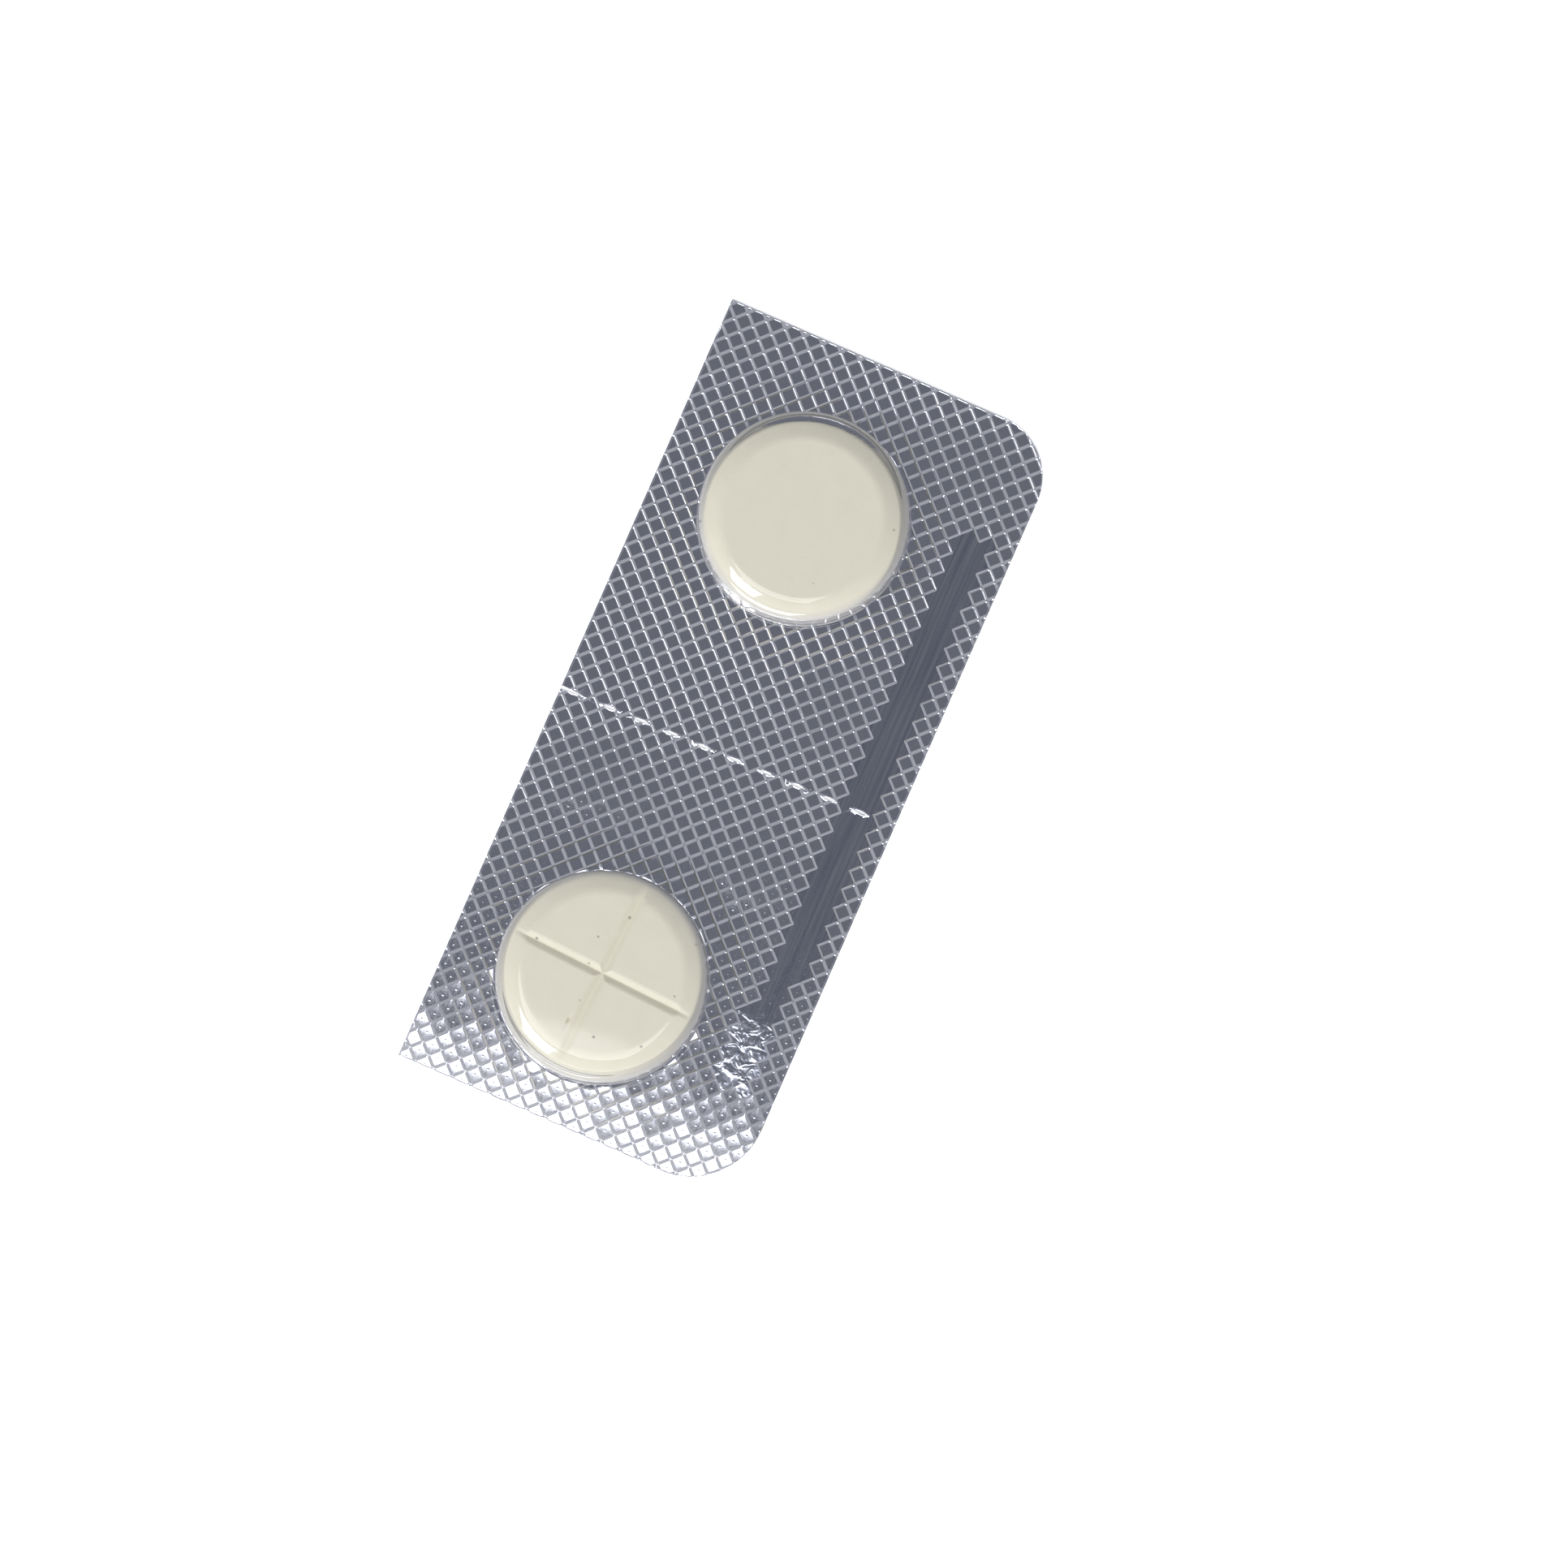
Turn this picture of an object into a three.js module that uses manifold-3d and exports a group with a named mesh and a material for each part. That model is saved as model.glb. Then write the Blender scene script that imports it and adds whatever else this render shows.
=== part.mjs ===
// A strip of two tablets in a blister pack: a clear formed web with two round pockets,
// an embossed lidding foil sealed to its underside, and a tablet in each pocket.
// Millimetres. The strip lies on its foil in the XY plane, centred on the origin, with the
// pockets up (+Z), its length along Y and its rounded corners on the +X side.

import * as THREE from 'three';
import { mergeVertices } from 'three/addons/utils/BufferGeometryUtils.js';
import Module from 'manifold-3d';

// Outline of the strip
const PACK_WIDTH = 28;
const PACK_LENGTH = 64;
const UPPER_CORNER_RADIUS = 5;
const LOWER_CORNER_RADIUS = 6;
const CORNER_STEPS = 10;

// Tablets: flat faces, bevelled edges, and a cross score pressed into one face
const TABLET_DIAMETER = 15;
const TABLET_THICKNESS = 3.4;
const BEVEL_WIDTH = 1.2;
const BEVEL_HEIGHT = 0.5;
const SCORE_WIDTH = 0.9;
const SCORE_DEPTH = 0.3;
const SCORE_TURN = -3;
const TABLET_FACETS = 64;

// Clear web and its pockets
const FILM_THICKNESS = 0.25;
const POCKET_WALL = 0.2;
const POCKET_CLEARANCE = 0.4;
const POCKET_HEADROOM = 0.3;
const POCKET_DRAFT = 0.1;
const SHOULDER_RADIUS = 1;
const FOOT_RADIUS = 0.2;
const SHOULDER_STEPS = 4;
const POCKET_FACETS = 48;

// Places of the pockets, and how far each tablet has slid along its pocket, as a share of its play
const POCKET_FROM_LEFT = 12;
const UPPER_POCKET_FROM_TOP = 13.5;
const LOWER_POCKET_FROM_BOTTOM = 11.8;
const UPPER_TABLET_SLIDE = -0.75;
const LOWER_TABLET_SLIDE = 0.75;

// Lidding foil: a square knurl set diagonally, whose cells are pressed away from the web
const FOIL_THICKNESS = 0.03;
const KNURL_PITCH = 1.105;
const KNURL_DEPTH = 0.12;
const KNURL_TURN = 45.5;
const KNURL_SHIFT = 0.5;
const SMOOTH_RIM = 0.25;

// Smooth band beside the pockets
const BAND_WIDTH = 3.1;
const BAND_FROM_RIGHT = 1.8;
const BAND_FROM_TOP = 9.4;
const BAND_FROM_BOTTOM = 8;

// Row of perforation slits across the strip. The first slit opens through the left edge.
const PERFORATION_FROM_TOP = 32.7;
const PERFORATION_TURN = 1;
const SLIT_LENGTH = 1.2;
const SLIT_WIDTH = 0.2;
const SLIT_PITCH = 2.62;
const EDGE_SLIT_LENGTH = 2;
const FIRST_SLIT_FROM_LEFT = 4.1;
const UNCUT_EDGE = 2.3;

// Allowance that carries a cutting solid past the face it cuts
const OVERSHOOT = 1;

const wasm = await Module();
wasm.setup();

const halfWidth = PACK_WIDTH / 2;
const halfLength = PACK_LENGTH / 2;
const tabletRadius = TABLET_DIAMETER / 2;
const shoulderRadius = tabletRadius + POCKET_CLEARANCE;
const footRadius = shoulderRadius + POCKET_DRAFT;
const footReach = footRadius + POCKET_WALL + FOOT_RADIUS;
const pocketHeight = TABLET_THICKNESS + POCKET_HEADROOM;
const sealHeight = KNURL_DEPTH + FOIL_THICKNESS;
const pocketX = POCKET_FROM_LEFT - halfWidth;
const upperPocketY = halfLength - UPPER_POCKET_FROM_TOP;
const lowerPocketY = LOWER_POCKET_FROM_BOTTOM - halfLength;

const clearPlastic = new THREE.MeshStandardMaterial({
  color: '#d9dcea', roughness: 0.12, metalness: 0, transparent: true, opacity: 0.35,
});
const foilMetal = new THREE.MeshStandardMaterial({ color: '#a6a9b4', roughness: 0.35, metalness: 1 });
const pressedPowder = new THREE.MeshStandardMaterial({ color: '#dbd8c8', roughness: 0.8, metalness: 0 });

function toSolid(geometry) {
  const bare = new THREE.BufferGeometry();
  bare.setAttribute('position', geometry.getAttribute('position').clone());
  bare.setIndex(geometry.getIndex());
  const welded = mergeVertices(bare);
  return new wasm.Manifold(new wasm.Mesh({
    numProp: 3,
    vertProperties: new Float32Array(welded.getAttribute('position').array),
    triVerts: new Uint32Array(welded.getIndex().array),
  }));
}

function toGeometry(solid) {
  const mesh = solid.getMesh();
  const geometry = new THREE.BufferGeometry();
  geometry.setAttribute('position', new THREE.BufferAttribute(mesh.vertProperties, 3));
  geometry.setIndex(new THREE.BufferAttribute(mesh.triVerts, 1));
  geometry.computeVertexNormals();
  return geometry;
}

// The outline has square corners on the left and rounded corners on the right.
function packOutline() {
  const outline = new THREE.Shape();
  outline.moveTo(-halfWidth, -halfLength);
  outline.lineTo(halfWidth - LOWER_CORNER_RADIUS, -halfLength);
  outline.absarc(halfWidth - LOWER_CORNER_RADIUS, LOWER_CORNER_RADIUS - halfLength,
    LOWER_CORNER_RADIUS, -Math.PI / 2, 0);
  outline.lineTo(halfWidth, halfLength - UPPER_CORNER_RADIUS);
  outline.absarc(halfWidth - UPPER_CORNER_RADIUS, halfLength - UPPER_CORNER_RADIUS,
    UPPER_CORNER_RADIUS, 0, Math.PI / 2);
  outline.lineTo(-halfWidth, halfLength);
  return outline;
}

function packPrism(bottom, top) {
  const geometry = new THREE.ExtrudeGeometry(packOutline(), {
    depth: top - bottom, bevelEnabled: false, curveSegments: CORNER_STEPS,
  });
  geometry.translate(0, 0, bottom);
  return toSolid(geometry);
}

// A slit is a pointed lens, as a perforating blade leaves it.
function slitPrism(fromLeft, length) {
  const tip = length / 2;
  const shoulder = length / 4;
  const side = SLIT_WIDTH / 2;
  const lens = new THREE.Shape([
    new THREE.Vector2(-tip, 0),
    new THREE.Vector2(-shoulder, -side),
    new THREE.Vector2(shoulder, -side),
    new THREE.Vector2(tip, 0),
    new THREE.Vector2(shoulder, side),
    new THREE.Vector2(-shoulder, side),
  ]);
  const geometry = new THREE.ExtrudeGeometry(lens, {
    depth: FILM_THICKNESS + sealHeight + 2 * OVERSHOOT, bevelEnabled: false,
  });
  geometry.translate(fromLeft - halfWidth, 0, -sealHeight - OVERSHOOT);
  geometry.rotateZ(THREE.MathUtils.degToRad(PERFORATION_TURN));
  geometry.translate(0, halfLength - PERFORATION_FROM_TOP, 0);
  return toSolid(geometry);
}

function perforationSlits() {
  const slits = [slitPrism(0, 2 * EDGE_SLIT_LENGTH)];
  const lastTip = PACK_WIDTH - UNCUT_EDGE;
  for (let at = FIRST_SLIT_FROM_LEFT; at + SLIT_LENGTH / 2 <= lastTip; at += SLIT_PITCH) {
    slits.push(slitPrism(at, SLIT_LENGTH));
  }
  return slits;
}

// A pocket-shaped solid of revolution. Its profile runs from the axis at the bottom to the axis at the top.
function turned(profile, y) {
  const geometry = new THREE.LatheGeometry(profile, POCKET_FACETS);
  geometry.rotateX(Math.PI / 2);
  geometry.translate(pocketX, y, 0);
  return toSolid(geometry);
}

// A pocket's wall turns over at the shoulder and becomes its flat roof. The offset is the
// distance outwards from the pocket's inner face.
function shoulderAndRoof(offset) {
  const height = pocketHeight + offset;
  const radius = shoulderRadius + offset;
  const bend = SHOULDER_RADIUS + offset;
  const points = [];
  for (let step = 0; step <= SHOULDER_STEPS; step++) {
    const angle = (step / SHOULDER_STEPS) * Math.PI / 2;
    points.push(new THREE.Vector2(
      radius - bend * (1 - Math.cos(angle)),
      height - bend * (1 - Math.sin(angle)),
    ));
  }
  points.push(new THREE.Vector2(0, height));
  return points;
}

function pocketInside() {
  return [
    new THREE.Vector2(0, -OVERSHOOT),
    new THREE.Vector2(footRadius, -OVERSHOOT),
    new THREE.Vector2(footRadius, 0),
    ...shoulderAndRoof(0),
  ];
}

function pocketOutside() {
  return [
    new THREE.Vector2(0, 0),
    new THREE.Vector2(footReach, 0),
    new THREE.Vector2(footReach, FILM_THICKNESS),
    new THREE.Vector2(footReach - FOOT_RADIUS, FILM_THICKNESS + FOOT_RADIUS),
    ...shoulderAndRoof(POCKET_WALL),
  ];
}

function clearWeb() {
  let web = packPrism(0, FILM_THICKNESS);
  for (const y of [upperPocketY, lowerPocketY]) {
    web = web.add(turned(pocketOutside(), y));
  }
  for (const y of [upperPocketY, lowerPocketY]) {
    web = web.subtract(turned(pocketInside(), y));
  }
  for (const slit of perforationSlits()) {
    web = web.subtract(slit);
  }
  return toGeometry(web);
}

// Corner (i, j) of the knurl's square grid
function knurlCorner(i, j) {
  const turn = THREE.MathUtils.degToRad(KNURL_TURN);
  const across = i * KNURL_PITCH + KNURL_SHIFT;
  const along = j * KNURL_PITCH;
  return [
    across * Math.cos(turn) - along * Math.sin(turn),
    across * Math.sin(turn) + along * Math.cos(turn),
  ];
}

// A cell is knurled unless a corner reaches into a pocket's smooth disc or its centre lies in
// the smooth band.
function isKnurled(corners, centre) {
  const smoothRadius = footReach + SMOOTH_RIM;
  for (const y of [upperPocketY, lowerPocketY]) {
    if (corners.some((corner) => Math.hypot(corner[0] - pocketX, corner[1] - y) < smoothRadius)) {
      return false;
    }
  }
  const bandRight = halfWidth - BAND_FROM_RIGHT;
  const acrossBand = centre[0] < bandRight && centre[0] > bandRight - BAND_WIDTH;
  const alongBand = centre[1] < halfLength - BAND_FROM_TOP && centre[1] > BAND_FROM_BOTTOM - halfLength;
  return !(acrossBand && alongBand);
}

// The foil is one sheet of even thickness. Each knurled cell sinks to a point at its centre.
// Every point of the front is followed by the point behind it on the back.
function embossedSheet() {
  const reach = Math.ceil(Math.hypot(halfWidth, halfLength) / KNURL_PITCH) + 2;
  const side = 2 * reach + 1;
  const positions = [];
  const faces = [];
  const at = (i, j) => 2 * ((i + reach) * side + j + reach);
  const addPoint = ([x, y], depth) => {
    positions.push(x, y, -depth, x, y, -depth - FOIL_THICKNESS);
  };
  const addFace = (a, b, c) => {
    faces.push(a, b, c, a + 1, c + 1, b + 1);
  };
  const addEdge = (a, b) => {
    faces.push(a, a + 1, b + 1, a, b + 1, b);
  };
  for (let i = -reach; i <= reach; i++) {
    for (let j = -reach; j <= reach; j++) {
      addPoint(knurlCorner(i, j), 0);
    }
  }
  for (let i = -reach; i < reach; i++) {
    for (let j = -reach; j < reach; j++) {
      const cell = [[i, j], [i + 1, j], [i + 1, j + 1], [i, j + 1]];
      const [a, b, c, d] = cell.map((corner) => at(...corner));
      const middle = knurlCorner(i + 0.5, j + 0.5);
      if (isKnurled(cell.map((corner) => knurlCorner(...corner)), middle)) {
        const centre = positions.length / 3;
        addPoint(middle, KNURL_DEPTH);
        addFace(a, b, centre);
        addFace(b, c, centre);
        addFace(c, d, centre);
        addFace(d, a, centre);
      } else {
        addFace(a, b, c);
        addFace(a, c, d);
      }
    }
  }
  for (let k = -reach; k < reach; k++) {
    addEdge(at(k, -reach), at(k + 1, -reach));
    addEdge(at(reach, k), at(reach, k + 1));
    addEdge(at(k + 1, reach), at(k, reach));
    addEdge(at(-reach, k + 1), at(-reach, k));
  }
  const geometry = new THREE.BufferGeometry();
  geometry.setAttribute('position', new THREE.Float32BufferAttribute(positions, 3));
  geometry.setIndex(faces);
  return toSolid(geometry);
}

function liddingFoil() {
  let foil = embossedSheet().intersect(packPrism(-sealHeight - OVERSHOOT, OVERSHOOT));
  for (const slit of perforationSlits()) {
    foil = foil.subtract(slit);
  }
  return toGeometry(foil);
}

// A V groove right across the tablet. Its open side stands past the face that it is cut into.
function scoreGroove(scoreUp, quarterTurns) {
  const face = scoreUp ? TABLET_THICKNESS : 0;
  const inward = scoreUp ? -1 : 1;
  const halfOpening = (SCORE_WIDTH / 2) * (1 + OVERSHOOT / SCORE_DEPTH);
  const section = new THREE.Shape([
    new THREE.Vector2(-halfOpening, -inward * OVERSHOOT),
    new THREE.Vector2(halfOpening, -inward * OVERSHOOT),
    new THREE.Vector2(0, inward * SCORE_DEPTH),
  ]);
  const length = TABLET_DIAMETER + 2 * OVERSHOOT;
  const geometry = new THREE.ExtrudeGeometry(section, { depth: length, bevelEnabled: false });
  geometry.translate(0, face, -length / 2);
  geometry.rotateX(Math.PI / 2);
  geometry.rotateZ(THREE.MathUtils.degToRad(SCORE_TURN + 90 * quarterTurns));
  return toSolid(geometry);
}

function tablet(scoreUp) {
  const flat = tabletRadius - BEVEL_WIDTH;
  const body = new THREE.LatheGeometry([
    new THREE.Vector2(0, 0),
    new THREE.Vector2(flat, 0),
    new THREE.Vector2(tabletRadius, BEVEL_HEIGHT),
    new THREE.Vector2(tabletRadius, TABLET_THICKNESS - BEVEL_HEIGHT),
    new THREE.Vector2(flat, TABLET_THICKNESS),
    new THREE.Vector2(0, TABLET_THICKNESS),
  ], TABLET_FACETS);
  body.rotateX(Math.PI / 2);
  let solid = toSolid(body);
  for (const quarterTurns of [0, 1]) {
    solid = solid.subtract(scoreGroove(scoreUp, quarterTurns));
  }
  return toGeometry(solid);
}

const strip = new THREE.Group();
strip.position.z = sealHeight;

function addPiece(name, geometry, material, x = 0, y = 0) {
  const mesh = new THREE.Mesh(geometry, material);
  mesh.name = name;
  mesh.position.set(x, y, 0);
  strip.add(mesh);
}

const upperTabletY = upperPocketY + UPPER_TABLET_SLIDE * POCKET_CLEARANCE;
const lowerTabletY = lowerPocketY + LOWER_TABLET_SLIDE * POCKET_CLEARANCE;

addPiece('clear_blister_web', clearWeb(), clearPlastic);
addPiece('lidding_foil', liddingFoil(), foilMetal);
addPiece('upper_tablet', tablet(false), pressedPowder, pocketX, upperTabletY);
addPiece('lower_tablet', tablet(true), pressedPowder, pocketX, lowerTabletY);

export default strip;
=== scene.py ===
"""A strip of two tablets in a blister pack, dressed for a product picture.

A clear formed web with two round pockets lies on an embossed lidding foil, with a tablet in each
pocket. The sizes that the frame gives are read from it, in metres.
"""

import math

import bmesh
import bpy
from mathutils import Matrix, Vector, noise


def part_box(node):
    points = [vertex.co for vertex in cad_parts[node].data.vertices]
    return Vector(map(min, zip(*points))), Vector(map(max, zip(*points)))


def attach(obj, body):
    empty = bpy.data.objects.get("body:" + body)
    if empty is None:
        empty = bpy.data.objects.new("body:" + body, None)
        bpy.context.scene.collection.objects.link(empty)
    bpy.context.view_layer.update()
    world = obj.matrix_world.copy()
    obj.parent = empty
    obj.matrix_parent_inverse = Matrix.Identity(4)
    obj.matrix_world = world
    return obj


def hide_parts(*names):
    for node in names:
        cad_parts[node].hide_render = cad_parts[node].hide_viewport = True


bl_info = {
    "name": "Blister Strip",
    "version": (1, 0, 0),
    "blender": (4, 5, 0),
    "location": "View3D > Sidebar > Blister Strip",
    "description": "Models a strip of two tablets in a blister pack, with its foil and a studio",
    "category": "Add Mesh",
}

MM = 0.001

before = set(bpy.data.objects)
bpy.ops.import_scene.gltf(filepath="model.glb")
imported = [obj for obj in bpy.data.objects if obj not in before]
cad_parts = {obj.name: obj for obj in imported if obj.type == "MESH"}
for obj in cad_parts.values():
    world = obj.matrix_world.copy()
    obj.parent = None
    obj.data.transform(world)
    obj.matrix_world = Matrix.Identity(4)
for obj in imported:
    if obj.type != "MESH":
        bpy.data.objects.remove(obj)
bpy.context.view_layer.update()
WEB_LOW, WEB_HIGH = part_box("clear_blister_web")
UPPER_LOW, UPPER_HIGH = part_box("upper_tablet")
LOWER_LOW, LOWER_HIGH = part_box("lower_tablet")

HALF_WIDTH = WEB_HIGH.x
HALF_LENGTH = WEB_HIGH.y
SEAL_HEIGHT = WEB_LOW.z
ROOF_HEIGHT = WEB_HIGH.z
UPPER_TABLET = (UPPER_LOW + UPPER_HIGH) / 2
LOWER_TABLET = (LOWER_LOW + LOWER_HIGH) / 2
TABLET_RADIUS = (UPPER_HIGH.x - UPPER_LOW.x) / 2
TABLET_THICKNESS = UPPER_HIGH.z - UPPER_LOW.z

# Each tablet has slid this far along its pocket, towards the middle of the strip.
TABLET_SLIDE = 0.3 * MM
POCKETS = (
    Vector((UPPER_TABLET.x, UPPER_TABLET.y + TABLET_SLIDE, 0)),
    Vector((LOWER_TABLET.x, LOWER_TABLET.y - TABLET_SLIDE, 0)),
)

# How finely round shapes are drawn
CORNER_STEPS = 16
POCKET_STEPS = 96
SHOULDER_STEPS = 8
CROWN_STEPS = 8
FOOT_STEPS = 4
TABLET_STEPS = 128
BEVEL_STEPS = 3

# How close counts as the same: for a cut, for points that are merged, and for a known place
CUT_TOLERANCE = 0.0001 * MM
FILM_MERGE = 0.002 * MM
MERGE = 0.001 * MM
PLACE_TOLERANCE = 0.01 * MM

# Edges sharper than these stay sharp.
FILM_SHARP_ANGLE = math.radians(20)
FOIL_SHARP_ANGLE = math.radians(10)
TABLET_SHARP_ANGLE = math.radians(40)

# Pocket: the roof droops a little before it turns over the shoulder into the wall, and the wall
# runs out over a rounded foot into a ring of flat film.
POCKET_DRAFT = 0.1 * MM
FOOT_RADIUS = 0.2 * MM
FLAT_RING = 0.3 * MM
FLAT_ROOF_RADIUS = 6.0 * MM
CROWN_RADIUS = 6.0 * MM
CROWN_TILT = math.radians(15)

# Knurl: a square grid, in steps from one ridge to the next. A ridge falls to the floor of the
# cell in two steps on each side.
KNURL_TURN = math.radians(45.5)
KNURL_SHIFT = 0.5 * MM
CELL_STEPS = 5
STEP_PLACES = (0.0, 0.052, 0.12, 0.88, 0.948)
STEP_DEPTHS = (0.0, 0.5, 1.0, 1.0, 0.5)

# No two cells are quite alike: the share by which their depth varies, how far a floor tilts, and
# the noise that says so
DEPTH_VARIATION = 0.12
FLOOR_TILT = 0.002 * MM
CELL_NOISE_STEP = 0.73
CELL_NOISE_LAYER = 3.1
CELL_NOISE_SEED = 1

# Foil: how far its smooth parts lie below the ridges, the gap between it and the film, and how
# far its edge lies inside the strip's outline. Die-cutting presses the rim of the foil back up.
SMOOTH_DEPTH = 0.05 * MM
FOIL_GAP = 0.005 * MM
FOIL_INSET = 0.03 * MM
FOIL_RIM = 0.13 * MM
FOIL_RIM_DEPTH = 0.012 * MM

# Smooth band beside the pockets
BAND_LEFT = HALF_WIDTH - 4.9 * MM
BAND_RIGHT = HALF_WIDTH - 1.8 * MM
BAND_TOP = HALF_LENGTH - 9.4 * MM
BAND_BOTTOM = 8.0 * MM - HALF_LENGTH

# Patches where the knurl is pressed only faintly, in millimetres: centre, then half width and
# half length
FAINT_PATCHES = (
    ((-8.4, -6.1), (5.6, 4.4)),
    ((6.2, 6.0), (3.6, 4.4)),
    ((6.0, -7.8), (3.8, 4.0)),
    ((8.0, 27.0), (6.0, 4.2)),
)

# In them: the knurl's share of its depth, the strength of the creases, how steeply both set in,
# and how far and how coarsely the edge of a patch wanders
FAINT_SHARE = 0.7
FAINT_CREASES = 0.3
FAINT_SLOPE = 1.5
FAINT_WANDER = 0.8
FAINT_WANDER_SIZE = 2.2 * MM
FAINT_NOISE_LAYER = 7.7

# The lower end of the smooth band is wrinkled.
WRINKLE_TOP = -17.3 * MM
WRINKLE_FADE = 1.5 * MM

# Perforation across the strip: the first slit opens through the left edge. The foil's faces near
# a slit are cut along it, and bent up to a lip.
PERFORATION_HEIGHT = HALF_LENGTH - 32.7 * MM
PERFORATION_TURN = math.radians(1)
SLIT_PITCH = 2.62 * MM
FIRST_SLIT = 4.1 * MM - HALF_WIDTH
SLIT_COUNT = 9
SLIT_LENGTH = 1.2 * MM
SLIT_WIDTH = 0.2 * MM
EDGE_SLIT_LENGTH = 4.0 * MM
SLIT_NEAR = 0.55 * MM
LIP_WIDTH = 0.1 * MM
LIP_TIP_SHARE = 1.5

# Cross score, and where lines are laid beside a groove's middle to round it, in millimetres
SCORE_TURN = math.radians(-3)
SCORE_HALF_WIDTH = 0.5 * MM
SCORE_DEPTH = 0.3 * MM
SCORE_LINES = (0.0, 0.12, 0.3, 0.5, 0.62)

# Bevelled edge of a tablet
BEVEL_WIDTH = 1.2 * MM
BEVEL_HEIGHT = 0.5 * MM
BEVEL_ROUND = 0.35 * MM

# Chip in the scored face, from the tablet's centre
CHIP_PLACE = Vector((-0.92 * MM, -4.3 * MM, 0))
CHIP_TURN = math.radians(-85)
CHIP_LENGTH = 0.7 * MM
CHIP_WIDTH = 0.36 * MM
CHIP_DEPTH = 0.24 * MM

# Film: the slow waves that forming leaves in it, and how much of a pocket's wall is a lilac-grey
# layer, partly the drawn film's milkiness and partly a painted reflection of the room
FILM_WAVE_SIZE = 5 * MM
FILM_WAVE_HEIGHT = 0.006 * MM
WALL_HAZE_AND_PAINTED_REFLECTION = 0.34

# Foil: the sheet's slow waves, the dish and the pin's point in each cell, creases, rolling lines
FOIL_WAVE_SIZE = 9 * MM
FOIL_WAVE_HEIGHT = 0.008 * MM
DISH_HEIGHT = 0.004 * MM
PIN_POINT_HEIGHT = 0.0008 * MM
CREASE_SIZE = 0.9 * MM
CREASE_HEIGHT = 0.02 * MM
ROLLING_PITCH = 0.25 * MM
ROLLING_LENGTH = 9 * MM
ROLLING_HEIGHT = 0.0006 * MM

# Tablets: soft clouds of colour, the distance between dark specks, and the powder's grain
CLOUD_SIZE = 1.6 * MM
SPECK_PITCH = 2.6 * MM
GRAIN_SIZE = 0.18 * MM
GRAIN_HEIGHT = 0.012 * MM

# Studio: the floor lies just below the strip, and the room's light goes by the height in degrees
# that it comes from.
FLOOR_HALF_SIZE = 3.0
FLOOR_DROP = 0.02 * MM
FLOOR_GLOW = 0.35
ROOM_LIGHT = (
    (0, (0.75, 0.75, 0.75)),
    (20, (0.6, 0.605, 0.61)),
    (50, (0.43, 0.435, 0.445)),
    (70, (0.38, 0.39, 0.415)),
    (80, (0.19, 0.20, 0.225)),
    (90, (0.185, 0.195, 0.215)),
)

# Picture: the strip's turn in it, the point at its centre, and how wide it is there
PICTURE_TURN = math.radians(23.7)
PICTURE_CENTRE = Vector((4.82 * MM, -0.86 * MM, 0))
PICTURE_WIDTH = 121.1 * MM
CAMERA_DISTANCE = 500 * MM
CAMERA_TILT = math.radians(3)
CLIP_START = 10 * MM
SENSOR_WIDTH = 36


def linear(colour):
    """Turns an sRGB hex colour into linear red, green and blue."""
    channels = [int(colour[i:i + 2], 16) / 255 for i in (1, 3, 5)]
    return tuple(c / 12.92 if c <= 0.04045 else ((c + 0.055) / 1.055) ** 2.4 for c in channels)


def opaque(colour):
    """A colour with full cover, for a socket."""
    return (*colour, 1.0)


class StripSizes(bpy.types.PropertyGroup):
    """Sizes of the strip that the frame leaves open."""

    upper_corner_radius: bpy.props.FloatProperty(
        name="Upper Corner Radius", description="Radius of the corner beside the upper pocket",
        default=5.0 * MM, min=0.0, unit="LENGTH",
    )
    lower_corner_radius: bpy.props.FloatProperty(
        name="Lower Corner Radius", description="Radius of the corner beside the lower pocket",
        default=6.0 * MM, min=0.0, unit="LENGTH",
    )
    film_thickness: bpy.props.FloatProperty(
        name="Film Thickness", description="Thickness of the clear film around the pockets",
        default=0.25 * MM, min=0.0, unit="LENGTH",
    )
    pocket_wall: bpy.props.FloatProperty(
        name="Pocket Wall", description="Thickness of the film where it is drawn into a pocket",
        default=0.12 * MM, min=0.0, unit="LENGTH",
    )
    pocket_clearance: bpy.props.FloatProperty(
        name="Pocket Clearance", description="Room between a tablet and its pocket's wall",
        default=0.48 * MM, min=0.0, unit="LENGTH",
    )
    foil_thickness: bpy.props.FloatProperty(
        name="Foil Thickness", description="Thickness of the lidding foil",
        default=0.03 * MM, min=0.0, unit="LENGTH",
    )
    knurl_pitch: bpy.props.FloatProperty(
        name="Knurl Pitch", description="Distance from one ridge of the knurl to the next",
        default=1.105 * MM, min=0.1 * MM, unit="LENGTH",
    )
    knurl_depth: bpy.props.FloatProperty(
        name="Knurl Depth", description="Depth of a cell's floor below the ridges",
        default=0.07 * MM, min=0.0, unit="LENGTH",
    )


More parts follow.
